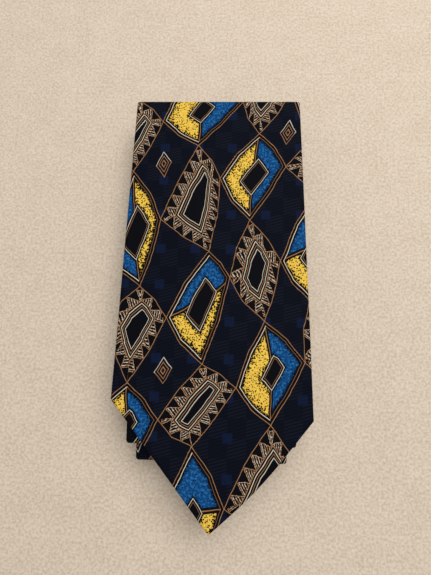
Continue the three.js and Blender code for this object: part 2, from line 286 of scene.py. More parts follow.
def printed_silk():
    """Navy silk woven with small squares and ribs, and printed with a hand-drawn trellis of diamonds."""
    f = Finish("printed_silk")
    x, y = f.on_cloth()
    u_line, v_line = f.layer("trellis")
    u_step, v_step = [c * 1000 for c in f.layer("spacing")]
    on_cloth = f.vector(x, y)

    # The block cutter's hand: the lines wander by a fraction of a millimetre.
    u_line = u_line + (f.noise(on_cloth, 0.11, 2.0) - 0.5) * WANDER / u_step
    v_line = v_line + (f.noise(f.vector(x + 71, y - 33), 0.11, 2.0) - 0.5) * WANDER / v_step
    row, column = v_line.floor(), u_line.floor()
    u, v = u_line.fract(), v_line.fract()

    # How far a point is from the four sides of its cell, in millimetres.
    u_low, u_high, v_low, v_high = u * u_step, (1 - u) * u_step, v * v_step, (1 - v) * v_step
    inside = u_low.low(u_high).low(v_low.low(v_high))
    nearest_is_u = v_low.low(v_high).above(u_low.low(u_high), 0.1)
    along = u_low + (v_low - u_low) * nearest_is_u
    odd_row, odd_column = row.odd(), column.odd()
    solid_cell = (1 - odd_row) * (1 - odd_column)
    hatched_cell = odd_row * odd_column
    plain_cell = 1 - solid_cell - hatched_cell
    half_row, half_column = (row * 0.5).floor(), (column * 0.5).floor()

    grain = f.noise(on_cloth, 1.3, 4.0, 0.65)
    speck = f.node("TexVoronoi", {"feature": "F1"}, {"Vector": on_cloth, "Scale": 1.15, "Randomness": 0.85})
    fine = f.noise(on_cloth, 0.75, 2.0)
    dry = grain.above(0.4, 0.1)

    # The ground: ribs that rise to the right in patches, with small squares of a lighter weave.
    rib = (y * 0.96 - x * RIB_RISE).wave(RIB_PITCH)
    tile_x, tile_y = (x * (1 / SQUARES_ACROSS) + 0.05).fract(), (y * (1 / SQUARES_ALONG) + 0.4).fract()
    square = tile_x.line(0.5, 0.135, 0.03) * tile_y.line(0.5, 0.13, 0.03)
    half_x, half_y = (x * (2 / SQUARES_ACROSS) + 0.1).floor(), (y * (2 / SQUARES_ALONG) + 0.8).floor()
    patch = (half_x + half_y).odd()
    ground = f.paint(NAVY, ((rib * 0.5 + 0.5) * (0.2 + 0.55 * patch), RIB_LIGHT),
                     (square * (0.4 + 0.9 * fine).clamp(), SQUARE_BLUE))

    # Each solid cell: a cream line, then a ring of two dyes round a navy diamond with its own outlines.
    rough_edge = (grain - 0.5) * 4.5
    diamond = f.layer("figure")[0]
    inner_gap = (abs(u - 0.55) * u_step - u_step * 0.2 * diamond).high(
        abs(v - 0.51) * v_step - v_step * 0.25 * diamond)
    west = half_column.line(-1, 0.3)
    turned = (half_row + half_column).odd() * (1 - west)
    side = (v - u) * (1 - turned) + (1 - u - v) * turned
    other_dye = (west * (1 - half_row.line(0, 0.3)) + turned).clamp()
    yellow_side = (side * (1 - 2 * other_dye)).above(0.0, 0.01)
    rim = (inside * 0.68 + rough_edge * 0.9 - 1.9).low(inner_gap + rough_edge * 0.8 - 0.9)
    ring = rim.above(0.0, 0.15)
    split = abs(side).above(0.035 + 0.03 * fine, 0.015)
    worn = (1 - rim / 2.2).clamp()
    dots = speck.above(0.26 + 0.2 * fine + 0.2 * worn, 0.1)
    yellow = f.mix(dots, INK, f.mix(grain.above(0.55, 0.25), YELLOW, AMBER))
    blue = f.paint(BLUE, (grain.above(0.47, 0.2), DEEP_BLUE), (fine.above(0.56, 0.1) * 0.6, PALE_BLUE),
                   ((1 - speck.above(0.14 + 0.3 * worn, 0.12)) * 0.75, INK))
    dyed = f.mix(yellow_side, blue, yellow)
    seam_of_dyes = abs(side).line(0.0, 0.008, 0.008) * inside.above(1.5, 0.1) * inner_gap.above(0.2, 0.1)
    solid = f.paint(INK, (ring * split, dyed), (inside.line(1.45, 0.09) * 0.7, TAN),
                    (u_low.low(v_high).line(1.6, 0.14) * inside.above(1.35, 0.1), CREAM),
                    (inner_gap.line(0.0, 0.12), CREAM), (inner_gap.line(-0.95, 0.1) * 0.7, TAN),
                    (seam_of_dyes * 0.8, TAN))

    # Each hatched cell: a border of hatched triangles, then cream and tan lines round a navy middle.
    border = (u_low * 0.7).low(u_high * 0.84).low((v_low * 0.9).low(v_high * 0.78))
    band = border / BORDER_DEPTH
    phase = (along / TRIANGLE_PITCH + 0.16 * fine).fract()
    zigzag = abs(phase * 2 - 1)
    hatch = ((band - phase * 2) * 2.4 + grain * 0.5).fract().line(0.5, 0.15, 0.16)
    in_band = border.above(0.3, 0.1) * (1 - border.above(4.25, 0.1))
    strokes = (zigzag + 0.08 - band).line(-0.5, 0.5, 0.05) * hatch * dry
    sides = (band - zigzag).line(0.0, 0.045, 0.05)
    hatched = f.paint(INK, (strokes.clamp() * in_band * 0.9, f.mix(fine.above(0.5, 0.1), CREAM, TAN)),
                      (sides * in_band, f.mix(grain.above(0.56, 0.1), TAN, CREAM)),
                      (border.line(4.35, 0.11), TAN), (border.line(5.2, 0.12) * (0.6 + 0.4 * dry), CREAM),
                      (border.line(6.05, 0.1) * 0.8, TAN), (border.line(6.9, 0.11) * 0.9, CREAM))

    # Some plain cells carry a small nested diamond in the middle.
    nest = (abs(u - 0.5) * u_step / 3.5).high(abs(v - 0.5) * v_step / 4.3)
    has_nest = plain_cell * odd_row * (half_row + half_column).odd() * (1 - half_column.line(1, 0.3))
    small = f.paint(ground, (nest.line(0.93, 0.035, 0.045) * 0.9, f.mix((u + v).above(1.0, 0.05), CREAM, TAN)),
                    (nest.line(0.6, 0.035, 0.045) * 0.9, TAN),
                    (nest.line(0.26, 0.05, 0.06) * grain.above(0.42, 0.1), TAN))

    # The trellis itself is drawn with a dry tan line, over everything.
    trellis = inside.line(0.0, 0.15, 0.14) * (0.7 + 0.25 * grain.above(0.4, 0.2))
    colour = f.paint(ground, (has_nest, small), (solid_cell, solid), (hatched_cell, hatched), (trellis, TAN))

    # Weave: fine warp and weft over the ribs. Print sits a little flatter and drier than bare silk.
    warp = x.wave(WARP_PITCH) * y.wave(WARP_PITCH)
    height = rib * (0.3 + 0.7 * patch) + warp * 0.35 + square * 0.5
    printed = (solid_cell * ring + trellis).clamp()
    roughness = 0.55 + 0.1 * fine + 0.1 * printed
    return f.wear(colour, roughness, height, strength=0.35, depth=0.00012, Specular_IOR_Level=0.035)


def satin_lining():
    """Dark lining with a small woven diamond and a soft shine."""
    f = Finish("satin_lining")
    x, y = f.on_cloth()
    check = (x + y).wave(3.4) * (x - y).wave(3.4)
    weave = y.wave(0.5) * 0.5 + 0.5
    slub = f.noise(f.vector(x * 0.15, y), 1.4, 3.0)
    raised = check.above(0.15, 0.3)
    colour = f.paint(dye(14, 15, 28), (raised * 0.55, dye(30, 33, 55)),
                     (slub.above(0.58, 0.1) * 0.3, dye(44, 46, 66)))
    return f.wear(colour, 0.4 + 0.14 * slub - 0.06 * raised, weave + check * 0.6, strength=0.25, depth=0.0001,
                  Specular_IOR_Level=0.2)


def wool_interlining():
    """Brushed cream wool with an open weave and loose hairs."""
    f = Finish("wool_interlining")
    x, y = f.on_cloth()
    weave = x.wave(1.1) * y.wave(1.1)
    hair = f.noise(f.vector(x * 0.5, y * 2.5), 1.2, 4.0, 0.7)
    colour = f.paint(dye(206, 194, 168), ((weave * 0.5 + 0.5) * 0.6, dye(166, 150, 122)),
                     (hair.above(0.6, 0.1) * 0.5, dye(232, 224, 204)))
    return f.wear(colour, 0.86 + 0.1 * hair, weave + hair * 1.5, strength=0.5, depth=0.0003, Sheen_Weight=0.3)


def twisted_thread(name, light, dark):
    """Sewing thread: two plies that spiral, with fuzz, and painted shade in the grooves between them."""
    f = Finish(name)
    x, y = f.on_cloth()
    ply = (x + y * 1.4).wave(0.5) * 0.5 + 0.5
    fuzz = f.noise(f.vector(x, y), 6.0, 2.0)
    # The colour goes from dark in the grooves between the plies to light on their crests: painted shade in the
    # grooves, painted highlight on the crests.
    colour = f.mix(ply * 0.7 + fuzz * 0.2, dark, light)
    return f.wear(colour, 0.5 + 0.2 * fuzz, ply, strength=0.4, depth=0.00008)


def woven_label():
    """A blank damask label: a satin face with a plain woven border and fine ribs."""
    f = Finish("woven_label")
    x, y = f.on_cloth()
    across, up = f.layer("label")
    border = 1 - (across.low(1 - across).low(up.low(1 - up))).above(0.07, 0.01)
    rib = y.wave(0.45)
    slub = f.noise(f.vector(x * 3, y * 0.4), 1.5, 3.0)
    colour = f.paint(dye(20, 22, 34), (border * 0.8, dye(116, 98, 66)),
                     (slub.above(0.6, 0.1) * 0.25, dye(52, 54, 70)))
    return f.wear(colour, 0.38 + 0.2 * slub + 0.1 * border, rib + slub * 0.4, strength=0.3, depth=0.0001,
                  Specular_IOR_Level=0.15)


def pale_floor():
    """A plain pale floor with a faint grain."""
    f = Finish("pale_floor")
    at = f.node("TexCoord", output=3)
    mottle = f.noise(at, 60.0, 4.0, 0.65)
    grain = f.noise(at, 700.0, 3.0, 0.7)
    colour = f.paint(dye(216, 199, 179), (mottle.above(0.5, 0.4) * 0.5, dye(198, 180, 158)),
                     (grain.above(0.55, 0.2) * 0.5, dye(236, 225, 210)),
                     ((1 - grain.above(0.42, 0.15)) * 0.4, dye(176, 158, 136)))
    return f.wear(colour, 0.75 + 0.15 * mottle, grain, strength=0.2, depth=0.0003)


# ---- where the trellis runs on the cloth
# Away from the crossings that are set out one by one, the trellis has this place and these two steps.
TRELLIS_ORIGIN = np.array([22.7, 142.2])
TRELLIS_U = np.array([16.8, -18.4])
TRELLIS_V = np.array([-15.8, -31.0])
# Crossings on the blade's face, set out one by one: by v, the first u and then (across, up) in millimetres.
SET_OUT = {
    -1: (0, [(40, 167), (53, 138)]),
    0: (-1, [(14, 161), (23, 142), (37, 123), (54, 110)]),
    1: (-3, [(-44, 162), (-30, 149), (-10, 135), (2, 116), (18, 93), (34, 71), (49, 51)]),
    2: (-2, [(-45, 120), (-29, 93), (-3, 76), (8, 62), (26, 40), (46, 20), (66, 6)]),
    3: (-2, [(-58, 77), (-38, 57), (-24, 41), (-5, 18), (12, 7), (29, -10), (44, -34)]),
    4: (-1, [(-53, 38), (-42, 8), (-26, -9), (-9, -21), (7, -49)]),
    5: (0, [(-60, -12), (-42, -36), (-24, -61), (-6, -78)]),
}
CROSSINGS = {(first + k, v): at for v, (first, row) in SET_OUT.items() for k, at in enumerate(row)}
# Where the cutter set a figure off its cell's centre, and the sizes of the diamonds inside the dyed rings.
OFF_CENTRE = {(0, 4): (2, 4), (2, 4): (-1, 1), (2, 2): (2.2, 3.2), (0, 2): (-1, 2)}
DIAMOND_SIZE = {(0, 0): 0.85, (-2, 0): 0.65, (0, 2): 0.95, (2, 2): 0.68, (0, 4): 0.6, (2, 4): 0.62,
                (-2, 2): 1.0, (2, 0): 0.9}
BULGE = 1.7  # how far a printed cell's sides bow out, on average
USUAL_SPACING, LEAST_SPACING, MOST_SPACING = [16.0, 18.0], 8, 40
NEWTON_STEPS = 6


def crossing(u, v):
    """Where two trellis lines cross on the flat cloth. Off the blade's face they keep their step, unevenly."""
    if (u, v) in CROSSINGS:
        return np.array(CROSSINGS[u, v], float)
    hand = random.Random(u * 7919 + v * 104729)
    drift = np.array([hand.uniform(-2.2, 2.2), hand.uniform(-2.8, 2.8)])
    return TRELLIS_ORIGIN + u * TRELLIS_U + v * TRELLIS_V + drift


def diamond_size(where):
    """The size of the diamond in the cell that each point is in."""
    cells = np.floor(where).astype(int)
    sizes = {(u, v): DIAMOND_SIZE.get((u, v), random.Random(u * 613 + v * 907).uniform(0.65, 1.05))
             for u, v in np.unique(cells, axis=0).tolist()}
    return np.array([sizes[u, v] for u, v in cells.tolist()])


def side_middle(u, v, along_u):
    """The middle of the line between two crossings, bowed out from the printed cell beside it."""
    start = crossing(u, v)
    end = crossing(u + 1, v) if along_u else crossing(u, v + 1)
    across = end - start
    normal = np.array([-across[1], across[0]]) / np.hypot(*across)
    hand = random.Random(u * 31 + v * 17 + (5 if along_u else 0))
    bow = BULGE * hand.uniform(0.5, 1.5)
    towards_this = 1 if normal @ (TRELLIS_V if along_u else TRELLIS_U) > 0 else -1
    is_printed = (u + v) % 2 == 0
    return (start + end) / 2 + normal * bow * (-towards_this if is_printed else towards_this)


def trellis_knot(half_u, half_v):
    """A crossing, the middle of a side or the middle of a cell, counted in half cells."""
    u, v = half_u // 2, half_v // 2
    if half_u % 2 and half_v % 2:
        return sum(crossing(u + a, v + b) for a in (0, 1) for b in (0, 1)) / 4 + OFF_CENTRE.get((u, v), (0, 0))
    if half_u % 2 or half_v % 2:
        return side_middle(u, v, along_u=half_v % 2 == 0)
    return crossing(u, v)


def trellis_at(points):
    """The trellis coordinates and the local spacing of its lines, for points on the flat cloth."""
    points = np.asarray(points, float)
    basis = np.linalg.inv(np.array([TRELLIS_U, TRELLIS_V]).T)
    rough = (points - TRELLIS_ORIGIN) @ basis.T
    found = np.full(len(points), False)
    where = rough.copy()
    spacing = np.tile(USUAL_SPACING, (len(points), 1))
    occupied = np.unique(np.floor(rough).astype(int), axis=0).tolist()
    around = {(u + a, v + b) for u, v in occupied for a in (-1, 0, 1) for b in (-1, 0, 1)}
    quarters = [(2 * u + a, 2 * v + b) for u, v in sorted(around) for a in (0, 1) for b in (0, 1)]
    corners = {(hu + a, hv + b) for hu, hv in quarters for a in (0, 1) for b in (0, 1)}
    knots = {corner: trellis_knot(*corner) for corner in corners}
    for hu, hv in quarters:
        a, b, c, d = knots[hu, hv], knots[hu + 1, hv], knots[hu, hv + 1], knots[hu + 1, hv + 1]
        low, high = np.minimum.reduce([a, b, c, d]) - 0.01, np.maximum.reduce([a, b, c, d]) + 0.01
        near = np.where(~found & (points >= low).all(1) & (points <= high).all(1))[0]
        if not len(near):
            continue
        share = np.full((len(near), 2), 0.5)
        for _ in range(NEWTON_STEPS):
            s, t = share[:, :1], share[:, 1:]
            here = a * (1 - s) * (1 - t) + b * s * (1 - t) + c * (1 - s) * t + d * s * t
            ds = (b - a) * (1 - t) + (d - c) * t
            dt = (c - a) * (1 - s) + (d - b) * s
            area = ds[:, 0] * dt[:, 1] - ds[:, 1] * dt[:, 0]
            area = np.where(abs(area) < 1e-6, 1e-6, area)
            off = points[near] - here
            share = share + np.c_[(off[:, 0] * dt[:, 1] - off[:, 1] * dt[:, 0]) / area,
                                  (ds[:, 0] * off[:, 1] - ds[:, 1] * off[:, 0]) / area]
        inside = ((share > -1e-3) & (share < 1 + 1e-3)).all(1)
        hit = near[inside]
        found[hit] = True
        where[hit] = (np.array([hu, hv]) + share[inside]) / 2
        widths = [np.hypot(*edges[inside].T) for edges in (dt, ds)]
        spacing[hit] = (abs(area[inside]) * 4 / (2 * np.array(widths))).T
    return where, np.clip(spacing, LEAST_SPACING, MOST_SPACING)


# ---- meshes
def settle(points):
    """How the stack lies: soft waves between the folds, and the blade's point drooping past its support."""
    p = np.array(points, float)
    x, y, z = p.T
    share = z / STACK_TOP
    between = np.sin(np.clip((y - fold_y[3]) / (fold_y[0] - fold_y[3]), 0, 1) * math.pi) ** 2
    wave = (np.sin(x * 0.075 + y * 0.021 + 0.6) * 0.3 + np.sin(y * 0.058 - x * 0.03 + 1.9) * 0.25
            + np.sin(x * 0.16 - y * 0.045) * 0.08)
    droop = 0.5 * (np.clip(-y - 20, 0, None) / 41) ** 1.7
    p[:, 2] = z + share * (between * wave - droop)
    return p


def slip(x, y):
    """How far the right side of the blade's point has slid down past the left side, in millimetres."""
    return SIDE_SLIP * np.sin(np.clip(x / SLIP_ACROSS, 0, 1) * math.pi / 2) * smooth((SLIP_UP - y) / SLIP_UP)


def soft_dents(x, y, seed):
    """A slow, shallow unevenness of the padded face, in millimetres."""
    hand = random.Random(seed)
    total = 0
    for _ in range(9):
        length = hand.uniform(14, 60)
        turn, shift = hand.uniform(0, math.pi), hand.uniform(0, 2 * math.pi)
        across = x * math.cos(turn) + y * math.sin(turn)
        total = total + np.sin(across * 2 * math.pi / length + shift) * length / 60
    return total * 0.035


class Cloth:
    """Grids of points with their places on the flat cloth, that become one mesh."""

    def __init__(self):
        self.points, self.flat, self.faces = [], [], []

    def grid(self, points, flat, closed=False):
        """points and flat are (rows, columns, 3) and (rows, columns, 2)."""
        rows, columns = points.shape[:2]
        start = sum(len(p) for p in self.points)
        self.points.append(points.reshape(-1, 3))
        self.flat.append(flat.reshape(-1, 2))
        for row in range(start, start + (rows - 1) * columns, columns):
            for c in range(columns if closed else columns - 1):
                d = (c + 1) % columns
                self.faces.append((row + c, row + d, row + columns + d, row + columns + c))

    def slide(self, panel):
        """Lets the blade's right side slide down. The print keeps its place: it was set out on the slid blade."""
        if panel.number > 1:
            return
        for points, flat in zip(self.points, self.flat):
            down = slip(points[:, 0], points[:, 1])
            points[:, 1] -= down
            flat[:, 1] -= down

    def make(self, name, material, trellis=True, label=None):
        """The mesh as an object, with UV layers for the finish to read."""
        points, flat = settle(np.concatenate(self.points)), np.concatenate(self.flat)
        mesh = bpy.data.meshes.new(name)
        mesh.from_pydata([place(*p) for p in points], [], self.faces)
        layers = {"cloth": flat * MM}
        if trellis:
            where, spacing = trellis_at(flat)
            layers["trellis"], layers["spacing"] = where, spacing * MM
            layers["figure"] = np.c_[diamond_size(where), np.zeros(len(where))]
        if label is not None:
            layers["label"] = label
        corners = np.array([loop.vertex_index for loop in mesh.loops])
        for key, values in layers.items():
            layer = mesh.uv_layers.new(name=key)
            layer.data.foreach_set("uv", values[corners].astype(np.float32).ravel())
        mesh.materials.append(material)
        work = bmesh.new()
        work.from_mesh(mesh)
        bmesh.ops.remove_doubles(work, verts=work.verts, dist=2e-5)
        bmesh.ops.dissolve_degenerate(work, edges=work.edges, dist=1e-6)
        bmesh.ops.recalc_face_normals(work, faces=work.faces)
        work.to_mesh(mesh)
        work.free()
        for polygon in mesh.polygons:
            polygon.use_smooth = True
        return stand(name, mesh)


EDGE_STEPS = np.array([0, 0.1, 0.35, 0.75, 1.3, 2.0, 3.2])  # rows close to an edge, for its roundness


def smooth(t):
    t = np.clip(t, 0, 1)
    return t * t * (3 - 2 * t)


def pressed(distance):
    """How far silk lies from its panel's middle, by its distance from the edge."""
    return SKIN * np.sqrt(1 - (1 - np.clip(distance / PRESS, 0, 1)) ** 2)


class Panel:
    """One panel between two folds, or an end that comes to a point."""

    def __init__(self, number):
        self.number = number
        self.up = 1 if number % 2 else -1
        self.z = middle_z[number - 1]
        self.pointed = number in (1, 8)
        if number == 1:
            self.half, self.tip, self.depth = blade_high.x / MM, -POINT_DEPTH, POINT_DEPTH
        elif number == 8:
            self.half, self.tip, _ = extent("tail_shell_8")
            self.depth = TAIL_POINT_DEPTH
        far, near = (number, number - 1) if number % 2 else (number - 1, number)
        self.far, self.far_half = fold_y[far - 1] - SHY_OF_FOLD, fold_half[far - 1]
        if self.pointed:
            self.near, self.near_half = self.tip + self.depth, self.half
            self.slope = self.depth / self.half
            self.lean = 1 / math.hypot(1, self.slope)
        else:
            self.near, self.near_half = fold_y[near - 1] + SHY_OF_FOLD, fold_half[near - 1]
        self.length = self.far - (self.tip if self.pointed else self.near)
        self.flat_start = 0.0

    def half_width(self, y):
        t = (y - self.near) / (self.far - self.near)
        return self.near_half + (self.far_half - self.near_half) * np.clip(t, 0, 1)

    def edge_distance(self, x, y):
        d = self.half_width(y) - abs(x)
        if self.pointed:
            d = np.minimum(d, (y - self.tip - self.slope * abs(x)) * self.lean)
        return np.clip(d, 0, None)

    def flat_y(self, y):
        return self.flat_start + self.up * y

    def height(self, side, t):
        """The height of a point t from the middle, towards the face for side 1."""
        return self.z + self.up * side * t

    def columns(self, width, steps):
        """Across the face: close together at the edges, even between them. Returns (share, offset)."""
        inner = np.linspace(1, 0, max(3, round(width / steps)) + 1)[1:]
        share = np.r_[np.ones(len(EDGE_STEPS)), inner]
        offset = np.r_[EDGE_STEPS[-1] - EDGE_STEPS, np.zeros(len(inner))]
        return (np.r_[share, share[-2::-1]] * np.r_[np.ones(len(share)), -np.ones(len(share) - 1)],
                np.r_[offset, -offset[-2::-1]])

    def face_grid(self, step_across, step_along, inset=0.0):
        """The plan of the face, (rows, columns, 2), out to its edges."""
        share, offset = self.columns(self.near_half - inset, step_across)
        reach = EDGE_STEPS[-1]

        def column_x(half):
            return (half - inset - reach) * share + offset

        if not self.pointed:
            y = np.linspace(self.near, self.far, max(2, round((self.far - self.near) / step_along)) + 1)
            x = np.array([column_x(h) for h in self.half_width(y)])
            return np.dstack([x, np.repeat(y[:, None], x.shape[1], 1)])
        start = column_x(self.half)
        tip = self.tip + inset / self.lean
        foot = tip + self.slope * abs(start)
        length = self.far - tip
        first = EDGE_STEPS / self.lean
        rise = np.r_[first, np.linspace(first[-1], length, round((length - first[-1]) / step_along) + 1)[1:]]
        # The rows run along the point's edges at first, and are straight across by the fold.
        straight = smooth((rise - 6) / (2.15 * self.depth))[:, None]
        y = foot + rise[:, None] - straight * (foot - tip)
        half = np.where(y < self.near, self.half, self.half_width(y))
        return np.dstack([column_x(half), y])

    def face(self, cloth, step_across, step_along):
        plan = self.face_grid(step_across, step_along)
        x, y = plan[..., 0], plan[..., 1]
        d = self.edge_distance(x, y)
        at_near = 1 if self.pointed else smooth((y - self.near) / FOLD_HOLD)
        dents = soft_dents(x, y, self.number)
        if self.number == 8:  # the floor holds this face flat
            dents = -abs(dents)
        t = pressed(d) + dents * smooth(d / 4) * smooth((self.far - y) / FOLD_HOLD) * at_near
        cloth.grid(np.dstack([x, y, self.height(1, t)]), np.dstack([x, self.flat_y(y)]))
        return plan

    def hem_on_point(self, share):
        """The lined window's edge along the point, by the share of the way from its tip."""
        bottom = self.tip + self.hem / self.lean
        return share * self.window_half, bottom + (self.near - bottom) * share

    def window_side(self, y):
        """Half the lined window's width above the point."""
        return self.window_half * (1 - np.clip((y - self.near) / (self.window_top - self.near), 0, 1))

    def flap(self, cloth, plan, side, step):
        """The back's flap on one side, from the edge to the window or seam, with its turned hem."""
        edge = [(abs(x), y, False) for x, y in plan[:, 0 if side > 0 else -1]]
        if self.pointed:
            last = plan.shape[1] - 1
            foot = range(last // 2, 0, -1) if side > 0 else range(last // 2, last)
            edge = [(abs(x), y, True) for x, y in plan[0, list(foot)]] + edge
        past_seam = -1.2 if side > 0 else -2.0  # the flap that lies under reaches further
        inner = []
        for x, y, on_point in edge:
            if on_point:
                x, y = self.hem_on_point(x / self.half)
            elif self.pointed:
                x = self.window_side(y) + past_seam * smooth((y - self.window_top + 6) / 6)
            else:
                x = past_seam
            inner.append((x, y))
        outer, inner = np.array([(x, y) for x, y, _ in edge]), np.array(inner)
        reach = np.hypot(*(inner - outer).T)[:, None]
        near_edge = np.minimum(EDGE_STEPS, reach * np.linspace(0, 0.6, len(EDGE_STEPS)))
        near_edge = np.where(reach > 8, EDGE_STEPS, near_edge) / reach
        even = np.linspace(0, 1, max(4, round(self.near_half / step)) + 1)[1:]
        share = np.c_[near_edge, near_edge[:, -1:] + (1 - near_edge[:, -1:]) * even]
        px, py = (o[:, None] + (i - o)[:, None] * share for o, i in zip(outer.T, inner.T))
        t = pressed(self.edge_distance(px, py))
        if side < 0:  # this flap lies under the other where they meet
            meet = smooth((py - self.window_top + 8) / 8) if self.pointed else 1
            t = t - UNDERLAP * smooth((9 - px) / 6) * meet
        hem = []
        for inward, back_share in HEM_ROWS:
            hx = px[:, -1:] + (outer[:, :1] - px[:, -1:]) * back_share
            hy = py[:, -1:] + (outer[:, 1:] - py[:, -1:]) * back_share
            hem.append((hx, hy, t[:, -1:] - inward))
        # Where the silk of the flap came from: the face's own cloth carried on round the edge.
        turned = np.array([on_point for _, _, on_point in edge])[:, None]
        flat_x, flat_y = 2 * self.half_width(outer[:, 1:]) - px, py
        if self.pointed:
            gap = (py - self.tip - self.slope * px) * self.lean
            flat_x = np.where(turned, px + 2 * gap * self.lean * self.slope, flat_x)
            flat_y = np.where(turned, py - 2 * gap * self.lean, flat_y)
        px, py, t = (np.concatenate([a, *[h[k] for h in hem]], 1) for k, a in enumerate((px, py, t)))
        flat_x = np.concatenate([flat_x, flat_x[:, -1:] + np.arange(1, len(hem) + 1)[None, :] * 0.4], 1)
        flat_y = np.concatenate([flat_y, np.repeat(flat_y[:, -1:], len(hem), 1)], 1)
        cloth.grid(np.dstack([side * px, py, self.height(-1, t)]),
                   np.dstack([side * flat_x, self.flat_y(flat_y)]))
        return side * px, py, -t

    def silk(self, step_across, step_along, flap_step):
        cloth = Cloth()
        plan = self.face(cloth, step_across, step_along)
        for side in (1, -1):
            self.flap(cloth, plan, side, flap_step)
        return cloth

    def section(self, step_across, flap_step, at_far):
        """The silk's cross-section at a fold: (x, t, flat x) of the face and of each flap."""
        row = -1 if at_far else 0
        cloth = Cloth()
        plan = self.face(cloth, step_across, 400)
        face = cloth.points[0].reshape(*plan.shape[:2], 3)[row]
        strips = [(face[:, 0], (face[:, 2] - self.z) * self.up, face[:, 0])]
        for side in (1, -1):
            px, _, t = self.flap(cloth, plan, side, flap_step)
            flat = cloth.flat[-1].reshape(*px.shape, 2)[row]
            strips.append((px[row], t[row], flat[:, 0]))
        return strips


panels = [Panel(n) for n in range(1, 9)]
panels[0].hem, panels[0].window_half, panels[0].window_top = 10.0, 34.0, 52.0
panels[7].hem, panels[7].window_half, panels[7].window_top = 6.0, 17.0, panels[7].near + 46.0

# Each panel's place along the flat cloth: the cloth runs on round every fold.
flat_end = panels[0].far
for panel in panels[1:]:
    start, end = (panel.near, panel.far) if panel.up > 0 else (panel.far, panel.near)
    panel.flat_start = flat_end + ROUND_FOLD - panel.up * start
    flat_end = panel.flat_y(end)


def fasten(piece, panel, node=None):
    """Attaches a piece to the panel it rides on, and hides the node that it stands for."""
    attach(piece, BODIES[panel.number - 1])
    if node:
        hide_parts(node)


# How far apart the rows of a panel's silk are: across, along and on the flaps.
BLADE_STEPS, OTHER_STEPS = (1.25, 1.4, 2.4), (2.2, 2.4, 3.0)


def dress_panels(silk):
    """The silk of every panel, cut where a slanting seam joins two lengths."""
    made = []
    for panel in panels:
        cloth = panel.silk(*(BLADE_STEPS if panel.number == 1 else OTHER_STEPS))
        cloth.slide(panel)
        names = SHELLS[panel.number - 1]
        if len(names) == 1:
            pieces = [cloth.make(names[0] + "_silk", silk)]
        else:
            pieces = join_lengths(cloth, names, panel, silk)
        for piece, node in zip(pieces, names):
            fasten(piece, panel, node)
        made.append(pieces)
    return made


SECOND_LENGTH = np.array([37.0, 211.0])  # where the second length was cut from, on the flat cloth
SEAM_GAP, SEAM_ROLL = 0.00012, 0.0012


def join_lengths(cloth, names, panel, silk):
    """Two lengths of silk that meet in a seam at 45 degrees, each turned in at it."""
    (low, high), (low_2, high_2) = map(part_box, names)
    middle = (min(high.y, high_2.y) + max(low.y, low_2.y)) / 2
    pieces = []
    for index, name in enumerate(names):
        if index == 1:
            cloth.flat = [f + SECOND_LENGTH for f in cloth.flat]
        piece = cloth.make(name + "_silk", silk)
        keep_low = (index == 0) == (low.y < low_2.y)
        normal = Vector((-1, 1, 0)).normalized()
        at = Vector((0, middle, 0)) + normal * (-SEAM_GAP if keep_low else SEAM_GAP)
        work = bmesh.new()
        work.from_mesh(piece.data)
        bmesh.ops.bisect_plane(work, geom=work.verts[:] + work.edges[:] + work.faces[:], dist=1e-6,
                               plane_co=at, plane_no=normal, clear_outer=keep_low, clear_inner=not keep_low)
        for vertex in work.verts:
            depth = abs((vertex.co - at) @ normal)
            if depth < SEAM_ROLL:
                vertex.co.z += (panel.z * MM - vertex.co.z) * 0.35 * (1 - depth / SEAM_ROLL) ** 2
        work.to_mesh(piece.data)
        work.free()
        pieces.append(piece)
    return pieces


def round_fold(k, opens, radius):
    """The y and z of cloth that turns about fold k, in rows from the upper panel to the lower one."""
    return (fold_y[k - 1] + opens * FOLD_BULGE * np.outer(np.cos(TURN), radius),
            fold_z[k - 1] + np.outer(np.sin(TURN), radius))


def dress_folds(silk, wool):
    """The silk and wool that run round each fold."""
    for k in range(1, 8):
        above, below = panels[k - 1], panels[k]
        at_far = k % 2 == 1
        opens = 1 if at_far else -1
        gap = (above.z - below.z) / 2
        start_flat = above.flat_y(above.far if at_far else above.near)
        across, _, on_flap = BLADE_STEPS if k == 1 else OTHER_STEPS
        cloth = Cloth()
        for x, t, flat_x in above.section(across, on_flap, at_far):
            y, z = round_fold(k, opens, gap + above.up * t)
            along = start_flat + (TURN[0] - TURN) / math.pi * ROUND_FOLD
            cloth.grid(np.dstack([np.broadcast_to(x, y.shape), y, z]), np.dstack(np.meshgrid(flat_x, along)))
        blend_fold(cloth.make(f"silk_bend_{k}", silk), k, f"shell_bend_{k}")
        wool_bend = Cloth()
        half = fold_half[k - 1] - 2.2
        loop_x = np.r_[np.linspace(-half, half, 9), np.linspace(half, -half, 9)]
        loop_t = np.r_[np.full(9, WOOL_HIGH), np.full(9, WOOL_LOW)]
        y, z = round_fold(k, opens, gap + above.up * loop_t)
        x = np.broadcast_to(loop_x, y.shape)
        wool_bend.grid(np.dstack([x, y, z]), np.dstack([x, z]), closed=True)
        piece = wool_bend.make(f"wool_bend_{k}", wool, trellis=False)
        blend_fold(piece, k, f"interlining_bend_{k}")


def blend_fold(piece, k, node):
    """Hides a fold's node and bakes its cloth's place into the mesh."""
    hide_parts(node)
    at = place(0, fold_y[k - 1], fold_z[k - 1])
    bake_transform(piece)


